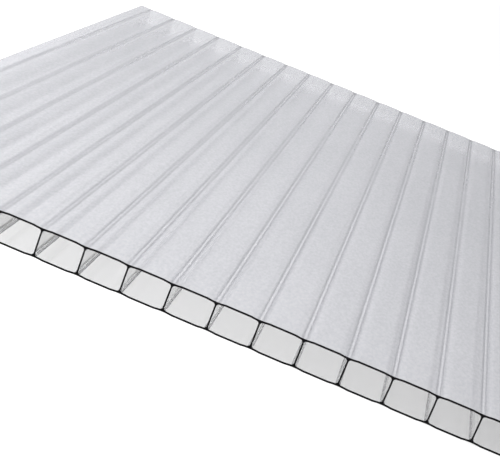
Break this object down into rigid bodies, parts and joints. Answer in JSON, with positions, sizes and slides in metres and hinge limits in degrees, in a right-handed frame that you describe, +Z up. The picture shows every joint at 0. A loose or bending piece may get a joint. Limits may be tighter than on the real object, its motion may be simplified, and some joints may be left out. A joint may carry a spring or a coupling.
{
  "type": "multiwall polycarbonate sheet",
  "caption": "Cut panel of clear twin-wall polycarbonate sheet: two thin skins joined by upright webs, with open flutes along its length, for glazing and insulation.",
  "frame": {"origin": "middle of the lower face, on the ground that the panel lies on", "axes": "+X across the flutes, towards the side cut that the picture leaves out; +Y along the flutes, away from the sawn end that the picture shows; +Z up through the sheet"},
  "size_m": [0.305, 0.305, 0.008],
  "materials": {
    "clear_polycarbonate": "clear, glossy extruded skins with fine draw lines; sawn ends look dark"
  },
  "bodies": {
    "root": {"twin_wall_sheet": "clear_polycarbonate"}
  },
  "joints": []
}
